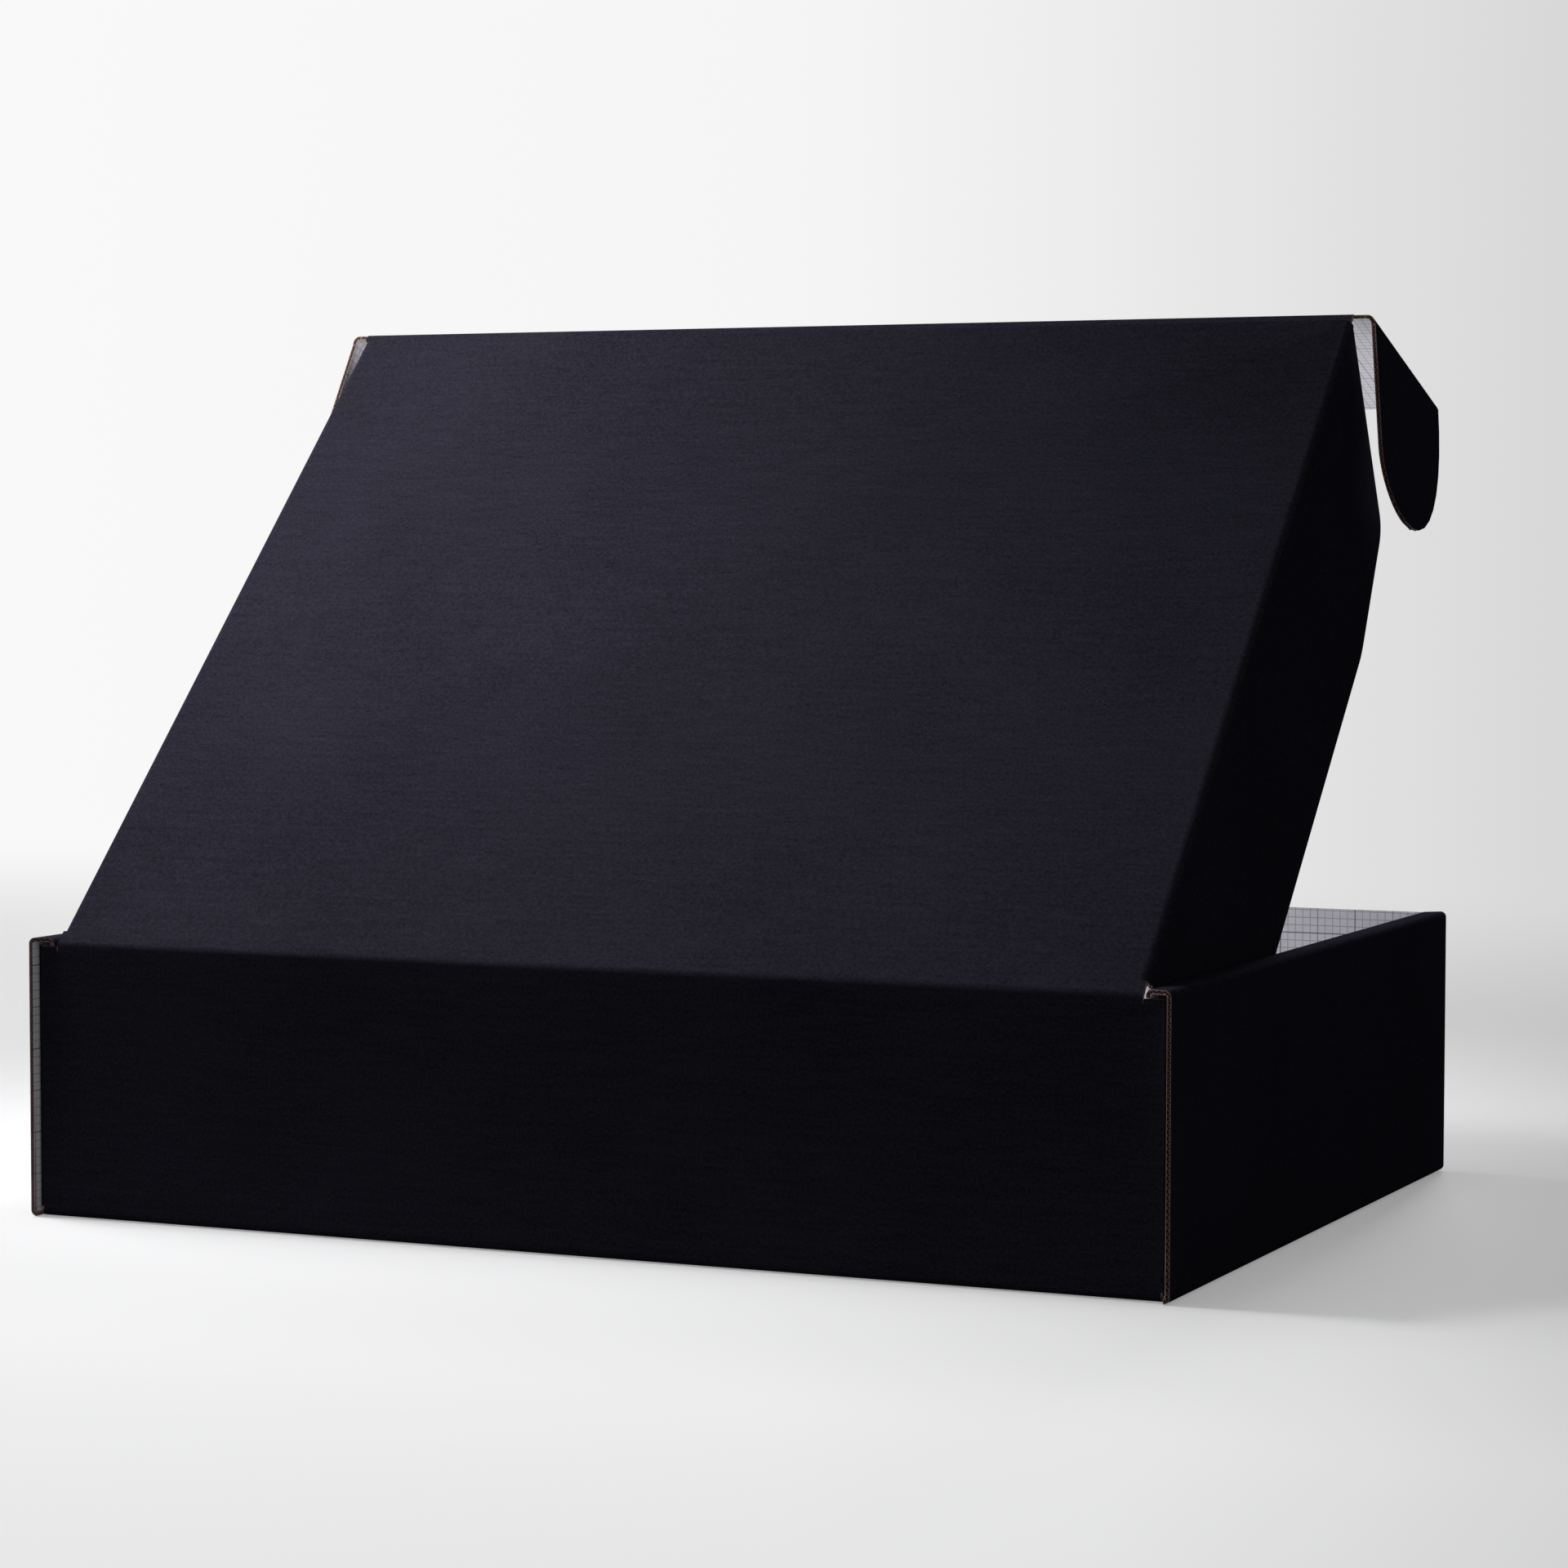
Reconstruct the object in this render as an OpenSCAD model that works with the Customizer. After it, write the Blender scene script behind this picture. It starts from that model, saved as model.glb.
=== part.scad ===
// Roll-end tuck-front mailer box of fine-flute corrugated board, standing with its lid open.
// The tray is one folded sheet. The lid, its dust flaps, its tuck flap and the tuck's ears are the
// panels that swing, each on a crushed crease. Origin: centre of the tray's underside. The front
// is at -Y, the lid's crease at +Y, and up is +Z.

/* [Box] */
// Outer width, between the outer faces of the side walls
box_w = 430; // [320:5:520]
// Outer depth, along a side wall from raw end to raw end
box_d = 321; // [260:1:380]
// Height of the tray, to the top of the rolled side walls
box_h = 100; // [80:1:130]

/* [Board] */
// Thickness of the corrugated board
board = 1.5; // [1.3:0.1:1.7]
// Thickness left at the middle of a crushed crease
crease_t = 0.9; // [0.7:0.1:1.1]
// Length of the crushed neck beside a crease
crease_neck = 1; // [0.8:0.1:1.4]
// Length over which the board swells from the neck to its full thickness
crease_ramp = 1.6; // [1.2:0.1:2.2]
// Air left between the two panels that meet at a crease
crease_gap = 0.3; // [0.2:0.05:0.4]

/* [Tray] */
// Outer radius of the bends along the foot of every wall
foot_r = 2.2; // [2:0.1:5]
// Outer radius of the two bends over a rolled side wall
roll_r = 2.2; // [1.8:0.1:3]
// Outer radius of the bends from the end walls into the corner flaps
corner_r = 2; // [1.8:0.1:3]
// Width across a rolled side wall, from its outer face to its inner face
wall_span = 9.2; // [9:0.1:12]
// How far the front and back walls stand in from the side walls' raw ends
end_inset = 2.5; // [2:0.1:4]
// How much shorter an inner skin is than its outer skin, at each end
skin_setback = 5; // [4.5:0.1:8]
// How far the back end of a rolled top narrows, at its inner bend
roll_setback = 2; // [1:0.1:4]
// How far the front wall's top edge stays below the rolled tops
front_drop = 0.4; // [0:0.1:3]
// Length of a corner flap, from the face of its end wall
corner_flap_l = 75; // [40:1:100]
// Length of the chamfers on a corner flap's free end
corner_flap_cut = 9; // [4:1:20]
// Air above and below a corner flap
corner_flap_gap = 1.2; // [1:0.1:4]
// Length of each locking tab, along the wall
tab_l = 42; // [25:1:60]
// Distance between the middles of the two locking tabs of a wall
tab_pitch = 170; // [100:5:190]
// Length of the bevel at each end of a locking tab
tab_bevel = 1; // [0.5:0.1:1.4]
// Air between a folded-in piece and the skin beside it
skin_gap = 0.3; // [0.2:0.05:0.5]
// Width of the relief notch at each lower corner
corner_notch = 1.2; // [0.8:0.1:3]

/* [Lid] */
// How far the lid's crease lies below the rolled tops
hinge_drop = 2; // [1:0.1:4]
// How far the back wall's raw top beside the lid lies below that crease
back_drop = 1.2; // [0.9:0.1:2]
// Air between each dust flap and the inner skin beside it
lid_side_gap = 1; // [0.8:0.1:3]
// Outer radius of the bend into a dust flap
dust_r = 3; // [2:0.1:4]
// Air under the dust flaps when the lid is shut
dust_foot_gap = 0.5; // [0.4:0.1:6]
// Distance from the lid's crease to the root of a dust flap
dust_back = 5.5; // [4.5:0.5:12]
// Distance from the lid's front crease to the root of a dust flap
dust_front = 3; // [3:0.5:10]
// Slope of a dust flap's two ends
dust_taper = 17.2; // [5:0.1:25]
// Length of the second, flatter cut at a dust flap's free corners
dust_cut = 50; // [20:1:80]
// Height of that cut
dust_cut_rise = 15; // [5:1:30]
// Radius that rounds a dust flap's shoulders
dust_shoulder_r = 12; // [3:1:20]
// Radius that rounds its free corners
dust_foot_r = 30; // [10:1:60]

/* [Tuck flap] */
// Height of the tuck flap, from its crease to its free edge
tuck_h = 92; // [60:1:95]
// Length of an ear, from its crease to its tip
ear_l = 69; // [60:1:75]
// Distance from the lid's front crease to the near edge of an ear
ear_inset = 2; // [2:0.5:8]
// Where the rounded tip of an ear is furthest out, from the lid's front crease
ear_tip = 31; // [25:1:45]
// Length of an ear's straight near edge
ear_straight = 50; // [20:1:55]
// How far the tuck flap stops short of the ear's crease at the lid's side
tuck_notch = 1; // [0.8:0.1:5]

/* [Pose] */
// How far the lid is open
lid_open = 45.3; // [20:0.1:120]
// How far the tuck flap splays beyond square to the lid
tuck_splay = 25.5; // [0:0.5:60]
// How far the ears splay beyond square to the tuck flap
ear_splay = 9.1; // [0:0.1:60]

/* [Hidden] */
$fn = 48;
outside_colour = [0.045, 0.045, 0.075];
curve_steps = 10;
eps = 0.01;
overlap = 1;

// Tray
side_x = box_w / 2;
raw_y = box_d / 2;
end_y = raw_y - end_inset;
inner_x = side_x - wall_span;
inner_y = end_y - board;
skin_y = raw_y - skin_setback;
roll_end_y = raw_y - roll_setback;
hinge_z = box_h - hinge_drop;
hinge_y = end_y - board / 2;
foot_x = side_x - foot_r;
foot_y = end_y - foot_r;
skin_foot_z = board + skin_gap;
flap_low_z = foot_r + corner_flap_gap;
flap_high_z = box_h - board - corner_flap_gap;
back_flap_x = side_x - board - skin_gap;
front_flap_x = inner_x + board + skin_gap + board;
front_top_z = box_h - front_drop;
back_top_z = hinge_z - back_drop;
roll_cut_z = back_top_z + skin_gap;
neck_end = crease_neck + crease_ramp;

// Lid, measured from its crease: v runs towards the tuck flap, and x across
lid_x = inner_x - lid_side_gap;
lid_l = hinge_y + raw_y - board / 2;
dust_arc_x = lid_x - dust_r;
dust_arc_z = board / 2 - dust_r;
dust_top = -dust_arc_z + crease_gap;
dust_low = hinge_z - board - dust_foot_gap;
dust_far = lid_l - dust_front;
raw_lid_x = lid_x - crease_gap;

// Tuck flap: its ears turn in the middle of the slots beside the front corner flaps
slot_x = (front_flap_x + side_x - board) / 2;
child_start = crease_t / 2 + crease_gap;
child_tip = crease_t / 3;

module mirrored_x() {
    children();
    mirror([1, 0, 0]) children();
}

// A section drawn in Y and Z, drawn out along X
module along_x(len) rotate([90, 0, 90]) linear_extrude(height = len, center = true) children();

// A section drawn in X and Z, drawn out along Y
module along_y(len) rotate([90, 0, 0]) linear_extrude(height = len, center = true) children();

// The quarter of a bend that lies on the side (sx, sy) of its centre
module bend(outer_r, sx, sy) {
    intersection() {
        difference() {
            circle(r = outer_r);
            circle(r = outer_r - board);
        }
        translate([sx < 0 ? -outer_r : 0, sy < 0 ? -outer_r : 0]) square(outer_r);
    }
}

// Half thicknesses along the panel that carries a crease; the crease is at the origin
module crease_parent(len) {
    polygon([
        [-len, -board / 2], [-neck_end, -board / 2], [-crease_neck, -crease_t / 2], [0, -crease_t / 2],
        [0, crease_t / 2], [-crease_neck, crease_t / 2], [-neck_end, board / 2], [-len, board / 2]
    ]);
    circle(d = crease_t);
}

// The same along the panel that swings on it, which starts clear of the rounded neck
module crease_child(len) {
    polygon([
        [child_start, -child_tip], [neck_end, -board / 2], [len, -board / 2],
        [len, board / 2], [neck_end, board / 2], [child_start, child_tip]
    ]);
}

// Points of the arc that rounds the corner at b, between a and c
function corner_arc(a, b, c, r) =
    let (u = (a - b) / norm(a - b))
    let (w = (c - b) / norm(c - b))
    let (half = acos(u * w) / 2)
    let (centre = b + (u + w) / norm(u + w) * r / sin(half))
    let (from = b + u * r / tan(half) - centre)
    let (to = b + w * r / tan(half) - centre)
    let (turn = atan2(from.x * to.y - from.y * to.x, from * to))
    [for (i = [0 : curve_steps])
        let (s = turn * i / curve_steps)
        centre + [from.x * cos(s) - from.y * sin(s), from.x * sin(s) + from.y * cos(s)]];

// Points of a quarter of an ellipse, from angle `from` to angle `to`
function quarter(centre, radii, from, to) =
    [for (i = [0 : curve_steps])
        let (s = from + (to - from) * i / curve_steps)
        centre + [radii.x * cos(s), radii.y * sin(s)]];

// Section of a rolled side wall: foot bend, outer skin, two bends over the top, inner skin
module side_wall_section() {
    translate([foot_x, foot_r]) bend(foot_r, 1, -1);
    translate([side_x - board, foot_r]) square([board, box_h - foot_r - roll_r]);
    translate([side_x - roll_r, box_h - roll_r]) bend(roll_r, 1, 1);
    translate([inner_x + roll_r, box_h - board]) square([wall_span - 2 * roll_r, board]);
    translate([inner_x + roll_r, box_h - roll_r]) bend(roll_r, -1, 1);
    translate([inner_x, skin_foot_z]) square([board, box_h - roll_r - skin_foot_z]);
}

// Cuts a rolled wall's raw end on the side s of the middle, from the outer skin in to end_at
module rolled_end_cut(s, end_at, from_z, to_z) {
    out_y = raw_y + overlap;
    translate([0, 0, from_z])
        linear_extrude(height = to_z - from_z)
            polygon([
                [side_x - board, s * out_y], [side_x - board, s * raw_y],
                [inner_x + board, s * end_at], [inner_x - overlap, s * end_at],
                [inner_x - overlap, s * out_y]
            ]);
}

module tab_section() {
    polygon([
        [-tab_l / 2, skin_foot_z + eps], [tab_l / 2, skin_foot_z + eps], [tab_l / 2, tab_bevel],
        [tab_l / 2 - tab_bevel, skin_gap], [tab_bevel - tab_l / 2, skin_gap], [-tab_l / 2, tab_bevel]
    ]);
}

// One rolled side wall with the two tabs that lock its inner skin into the base
module side_wall() {
    difference() {
        along_y(box_d) side_wall_section();
        rolled_end_cut(-1, skin_y, skin_foot_z - eps, box_h + overlap);
        rolled_end_cut(1, skin_y, skin_foot_z - eps, roll_cut_z);
        rolled_end_cut(1, roll_end_y, roll_cut_z - eps, box_h + overlap);
    }
    for (s = [-1, 1])
        translate([inner_x + board / 2, s * tab_pitch / 2, 0]) along_x(board) tab_section();
}

// Flat bottom, slotted for the locking tabs
module base() {
    slot_l = tab_l + 2 * skin_gap;
    difference() {
        translate([-foot_x, -foot_y, 0]) cube([2 * foot_x, 2 * foot_y, board]);
        for (sx = [-1, 1], sy = [-1, 1])
            translate([sx * (inner_x + board / 2), sy * tab_pitch / 2, board / 2])
                cube([board + 2 * skin_gap, slot_l, 2 * board], center = true);
    }
}

// Outline of a corner flap, from the bend at y = 0 towards its chamfered free end
module corner_flap_outline(len) {
    c = corner_flap_cut;
    polygon([
        [0, flap_low_z], [len - c, flap_low_z], [len, flap_low_z + c],
        [len, flap_high_z - c], [len - c, flap_high_z], [0, flap_high_z]
    ]);
}

// Bend and flap at the +X end of an end wall whose outer face is at y = end_y
module corner_flap(face_x) {
    bend_y = end_y - corner_r;
    translate([face_x - corner_r, bend_y, flap_low_z])
        linear_extrude(height = flap_high_z - flap_low_z) bend(corner_r, 1, 1);
    translate([face_x - board / 2, bend_y, 0])
        mirror([0, 1, 0])
            along_x(board) corner_flap_outline(corner_flap_l - corner_r);
}

// An end wall up to top_z, with its foot bend and both corner flaps, at the +Y end
module end_wall(face_x, top_z) {
    flat_x = face_x - corner_r;
    foot_end = min(flat_x, foot_x - corner_notch);
    translate([0, foot_y, foot_r]) along_x(2 * foot_end) bend(foot_r, 1, -1);
    translate([-flat_x, inner_y, foot_r]) cube([2 * flat_x, board, top_z - foot_r]);
    mirrored_x() corner_flap(face_x);
}

// The back wall ends in the crushed neck that carries the lid
module back_wall() {
    ramp_z = hinge_z - neck_end;
    raw_l = back_flap_x - corner_r - lid_x;
    end_wall(back_flap_x, ramp_z);
    for (s = [-1, 1])
        translate([s * (lid_x + raw_l / 2), hinge_y, (ramp_z + back_top_z) / 2])
            cube([raw_l, board, back_top_z - ramp_z], center = true);
    translate([0, hinge_y, hinge_z]) along_x(2 * raw_lid_x) rotate(90) crease_parent(neck_end + eps);
}

module tray() {
    color(outside_colour) {
        base();
        mirrored_x() side_wall();
        back_wall();
        mirror([0, 1, 0]) end_wall(front_flap_x, front_top_z);
    }
}

// Carries the lid's frame to the open lid: crease at the origin, v along -Y, outer face at +Z
module lid_frame() {
    translate([0, hinge_y, hinge_z]) rotate([-lid_open, 0, 0]) children();
}

// Lid panel, its bends into the dust flaps, and a crease at each end
module lid() {
    front_end = dust_far + crease_gap;
    arc_mid = (dust_back + dust_far) / 2;
    color(outside_colour)
        lid_frame() {
            along_x(2 * raw_lid_x) rotate(180) crease_child(dust_back - crease_gap);
            translate([-dust_arc_x, -front_end, -board / 2])
                cube([2 * dust_arc_x, front_end - dust_back + crease_gap, board]);
            translate([0, -lid_l, 0])
                along_x(2 * raw_lid_x) rotate(180) crease_parent(lid_l - front_end);
            mirrored_x()
                translate([dust_arc_x, -arc_mid, dust_arc_z])
                    along_y(dust_far - dust_back) bend(dust_r, 1, 1);
        }
}

// Outline of a dust flap in v (towards the tuck flap) and depth below the lid
module dust_flap_outline() {
    slope = tan(dust_taper);
    shoulder = dust_low - dust_cut_rise;
    far_root = [dust_far - dust_top * slope, dust_top];
    far_shoulder = [dust_far - shoulder * slope, shoulder];
    far_foot = [far_shoulder.x - dust_cut, dust_low];
    near_root = [dust_back + dust_top * slope, dust_top];
    near_shoulder = [dust_back + shoulder * slope, shoulder];
    near_foot = [near_shoulder.x + dust_cut, dust_low];
    polygon(concat(
        [near_root, far_root],
        corner_arc(far_root, far_shoulder, far_foot, dust_shoulder_r),
        corner_arc(far_shoulder, far_foot, near_foot, dust_foot_r),
        corner_arc(far_foot, near_foot, near_shoulder, dust_foot_r),
        corner_arc(near_foot, near_shoulder, near_root, dust_shoulder_r)
    ));
}

// The dust flap on the +X side, which swings on the end of the lid's bend
module dust_flap() {
    color(outside_colour)
        lid_frame()
            translate([lid_x - board / 2, 0, 0])
                along_x(board) rotate(180) dust_flap_outline();
}

module left_dust_flap() mirror([1, 0, 0]) dust_flap();

module right_dust_flap() dust_flap();

// Carries the tuck flap's frame to the lid's front crease: height along -Y, outer face at +Z
module tuck_frame() {
    lid_frame() translate([0, -lid_l, 0]) rotate([90 - tuck_splay, 0, 0]) children();
}

// Tuck flap, wider than the lid, with a crease along each side for its ear
module tuck_flap() {
    side_h = tuck_h - tuck_notch;
    color(outside_colour)
        tuck_frame() {
            along_x(2 * raw_lid_x) rotate(180) crease_child(neck_end + eps);
            translate([-raw_lid_x, -tuck_h, -board / 2])
                cube([2 * raw_lid_x, tuck_h - neck_end, board]);
            mirrored_x()
                translate([slot_x, -(tuck_h + tuck_notch) / 2, 0])
                    along_y(side_h) crease_parent(slot_x - raw_lid_x + overlap);
        }
}

// Outline of an ear: x outwards from its crease, y down the tuck flap
module ear_outline() {
    near_r = [ear_l - ear_straight, ear_tip - ear_inset];
    far_r = [ear_l, tuck_h - ear_tip];
    polygon(concat(
        [[0, ear_inset], [ear_straight, ear_inset]],
        quarter([ear_straight, ear_tip], near_r, -90, 0),
        quarter([0, ear_tip], far_r, 0, 90)
    ));
}

// The ear on the +X side
module ear() {
    color(outside_colour)
        tuck_frame()
            translate([slot_x, 0, 0])
                rotate([0, 90 - ear_splay, 0])
                    intersection() {
                        translate([0, 0, -board])
                            linear_extrude(height = 2 * board) mirror([0, 1, 0]) ear_outline();
                        translate([0, -tuck_h / 2, 0])
                            along_y(tuck_h + overlap) crease_child(ear_l + overlap);
                    }
}

module left_ear() mirror([1, 0, 0]) ear();

module right_ear() ear();

tray();
lid();
tuck_flap();
left_ear();
right_ear();
left_dust_flap();
right_dust_flap();
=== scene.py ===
import math

import bpy
from bpy.props import FloatProperty, FloatVectorProperty, PointerProperty
from mathutils import Matrix, Vector


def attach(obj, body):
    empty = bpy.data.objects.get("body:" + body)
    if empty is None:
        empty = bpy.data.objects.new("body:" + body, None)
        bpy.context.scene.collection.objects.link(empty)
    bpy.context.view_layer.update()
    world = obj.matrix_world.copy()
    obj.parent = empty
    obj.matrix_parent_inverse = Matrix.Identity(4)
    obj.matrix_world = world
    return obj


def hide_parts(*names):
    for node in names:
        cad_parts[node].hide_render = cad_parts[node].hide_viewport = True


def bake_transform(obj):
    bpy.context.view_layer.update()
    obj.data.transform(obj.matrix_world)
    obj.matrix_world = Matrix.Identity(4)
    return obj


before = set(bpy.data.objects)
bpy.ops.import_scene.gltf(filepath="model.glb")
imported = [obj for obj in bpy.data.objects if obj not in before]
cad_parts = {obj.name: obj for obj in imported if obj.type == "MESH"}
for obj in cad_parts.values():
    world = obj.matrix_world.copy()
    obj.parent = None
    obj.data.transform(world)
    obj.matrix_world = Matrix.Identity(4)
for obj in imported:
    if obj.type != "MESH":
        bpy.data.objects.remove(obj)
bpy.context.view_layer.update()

bl_info = {
    "name": "Corrugated mailer box",
    "version": (1, 0, 0),
    "blender": (4, 5, 0),
    "location": "View3D > Sidebar > Mailer",
    "description": "Dresses the folded sheets of a roll-end mailer as printed fine-flute board",
    "category": "Object",
}

# Sizes of the CAD source, in millimetres. The box stands on z = 0 with its front at -y.
MM = 0.001
HALF = 0.75
SIDE_X, INNER_X, FOOT_X = 215.0, 205.8, 212.8
RAW_Y, END_Y, INNER_Y, SKIN_Y, FOOT_Y, ROLL_Y = 160.5, 158.0, 156.5, 155.5, 155.8, 158.5
BOX_H, FRONT_TOP, BACK_TOP, ROLL_CUT, SKIN_FOOT = 100.0, 99.6, 96.8, 97.1, 1.8
FOOT_R, ROLL_R, CORNER_R = 2.2, 2.2, 2.0
BACK_FLAP_X, FRONT_FLAP_X = 213.2, 209.1
HINGE_Y, HINGE_Z = 157.25, 98.0
LID_OPEN, TUCK_SPLAY, EAR_SPLAY = 45.3, 25.5, 9.1
LID_L, LID_X, RAW_LID_X = 317.0, 204.8, 204.5
DUST_R, DUST_BACK, DUST_FAR, DUST_TOP, DUST_TAPER = 3.0, 5.5, 314.0, 2.55, 17.2
DUST_ARC_X = LID_X - DUST_R
TUCK_H, TUCK_NOTCH, SLOT_X, EAR_INSET, EAR_DROP = 92.0, 1.0, 211.3, 2.0, 0.04

# A fold's board reaches that far from its corner on both sides; the nearer distance places two points
# that are worked out but not used
NECK, BEND = 2.6, 1.9
# Length of a fold's faces on its straight parts, and a distance along the lid at which two points of a
# dust fold are worked out but not used
ROW, DUST_MIDDLE = 0.5, 160.0
# The fluted paper runs that much further into the board than its hollows
SUNK = 0.2
# Places this close together are taken as the same
NEAR = 0.06
# Share of an axis in the normal of a face that lies across it, and of faces that point along it
ACROSS, MOSTLY, ALONG, FULLY = 0.1, 0.9, 0.99, 0.999

# Frames of the panels: the across, the flutes' direction and the outer face are x, -y and +z
LID = Matrix.Translation((0, HINGE_Y, HINGE_Z)) @ Matrix.Rotation(math.radians(-LID_OPEN), 4, "X")
TUCK = LID @ Matrix.Translation((0, -LID_L, 0)) @ Matrix.Rotation(math.radians(90 - TUCK_SPLAY), 4, "X")
EAR = TUCK @ Matrix.Translation((SLOT_X, 0, 0)) @ Matrix.Rotation(math.radians(90 - EAR_SPLAY), 4, "Y")
DUST = LID @ Matrix.Translation((LID_X - HALF, 0, 0)) @ Matrix.Rotation(math.radians(90), 4, "Y")

OUTER, INNER, RAW, HOLLOW = 0, 1, 2, 3
SIDES = {"left": -1, "right": 1}

# Studio floor in metres: width, depth, middle in y, height and radius of the sweep behind it
FLOOR_W, FLOOR_D, FLOOR_Y, SWEEP_H, SWEEP_R = 14, 10, 0.5, 6, 2.5

# The photograph's view in metres: the camera's place, its way, its roll in degrees and its lens
VIEW_PLACE = Vector((-0.6543, 1.43084, 0.24087))
VIEW_AHEAD = Vector((0.41085, -0.90996, -0.0564)).normalized()
VIEW_ROLL, VIEW_LENS, SENSOR = 0.073, 97.8, 36

# Square soft lamps: name, place, what they look at, width, watts and the beam's spread in degrees
LAMPS = (
    ("key_light", (1.02, 0.04, 0.86), (0.0, 0.0, 0.1), 0.7, 11.25, 180),
    ("lid_light", (0.529, 0.15, 0.925), (0.125, 0.034, 0.195), 0.2, 1.2, 60),
    ("inside_light", (0.0, -1.1, 0.5), (0.0, -0.02, 0.22), 0.3, 1.9, 50),
    ("tuck_light", (0.0, -0.34, 0.01), (0.0, -0.339, 1.0), 0.3, 1.1, 180),
)


class BoardSizes(bpy.types.PropertyGroup):
    """Sizes of the board's make-up and of its folds"""

    liner: FloatProperty(
        name="Liner", description="Thickness of each flat paper sheet of the board",
        default=0.26 * MM, unit="LENGTH")
    flute_pitch: FloatProperty(
        name="Flute pitch", description="Length of one wave of the fluted paper",
        default=2.1 * MM, unit="LENGTH")
    flute_paper: FloatProperty(
        name="Fluted paper", description="Thickness of the fluted paper",
        default=0.15 * MM, unit="LENGTH")
    edge_depth: FloatProperty(
        name="Edge depth", description="How deep the flutes can be seen at a cut edge",
        default=0.9 * MM, unit="LENGTH")
    lid_fold: FloatProperty(
        name="Lid fold", description="Radius of the lid's crease, at the middle of the board",
        default=2.6 * MM, unit="LENGTH")
    tuck_fold: FloatProperty(
        name="Tuck fold", description="Radius of the tuck flap's crease",
        default=1.3 * MM, unit="LENGTH")
    ear_fold: FloatProperty(
        name="Ear fold", description="Radius of the creases of the two ears",
        default=2.2 * MM, unit="LENGTH")
    grid_step: FloatProperty(
        name="Grid step", description="Distance between the finest lines printed inside",
        default=3 * MM, unit="LENGTH")
    grid_line: FloatProperty(
        name="Grid line", description="Width of the finest printed line",
        default=0.3 * MM, unit="LENGTH")


class BoardColours(bpy.types.PropertyGroup):
    """Colours of the board and of the studio"""

    # partly print and partly painted sheen: set lighter than the print, since the print here has no
    # gloss
    outer_print: FloatVectorProperty(
        name="Outer print", description="Matt dark print on the outer liner",
        default=(0.018, 0.0173, 0.0256), subtype="COLOR")
    inner_print: FloatVectorProperty(
        name="Inner print", description="Bleached paper of the inner liner",
        default=(0.80, 0.79, 0.82), subtype="COLOR")
    grid_ink: FloatVectorProperty(
        name="Grid ink", description="Grey ink of the grid inside",
        default=(0.20, 0.20, 0.23), subtype="COLOR")
    raw_edge: FloatVectorProperty(
        name="Raw edge", description="Brown paper that shows where the board is cut",
        default=(0.26, 0.17, 0.15), subtype="COLOR")
    floor: FloatVectorProperty(
        name="Floor", description="Pale studio floor and backdrop",
        default=(0.68, 0.68, 0.69), subtype="COLOR")


class Value:
    """A shader socket that can be used in sums"""

    def __init__(self, shader, socket):
        self.shader, self.socket = shader, socket

    def math(self, operation, *others):
        values = dict(enumerate((self,) + others))
        return self.shader.node("ShaderNodeMath", {"operation": operation}, values)[0]

    def __add__(self, other):
        return self.math("ADD", other)

    __radd__ = __add__

    def __mul__(self, other):
        return self.math("MULTIPLY", other)

    __rmul__ = __mul__

    def __sub__(self, other):
        return self.math("SUBTRACT", other)

    def __rsub__(self, other):
        return (self * -1.0) + other

    def __truediv__(self, other):
        return self.math("DIVIDE", other)

    def __lt__(self, other):
        return self.math("LESS_THAN", other)


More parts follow.
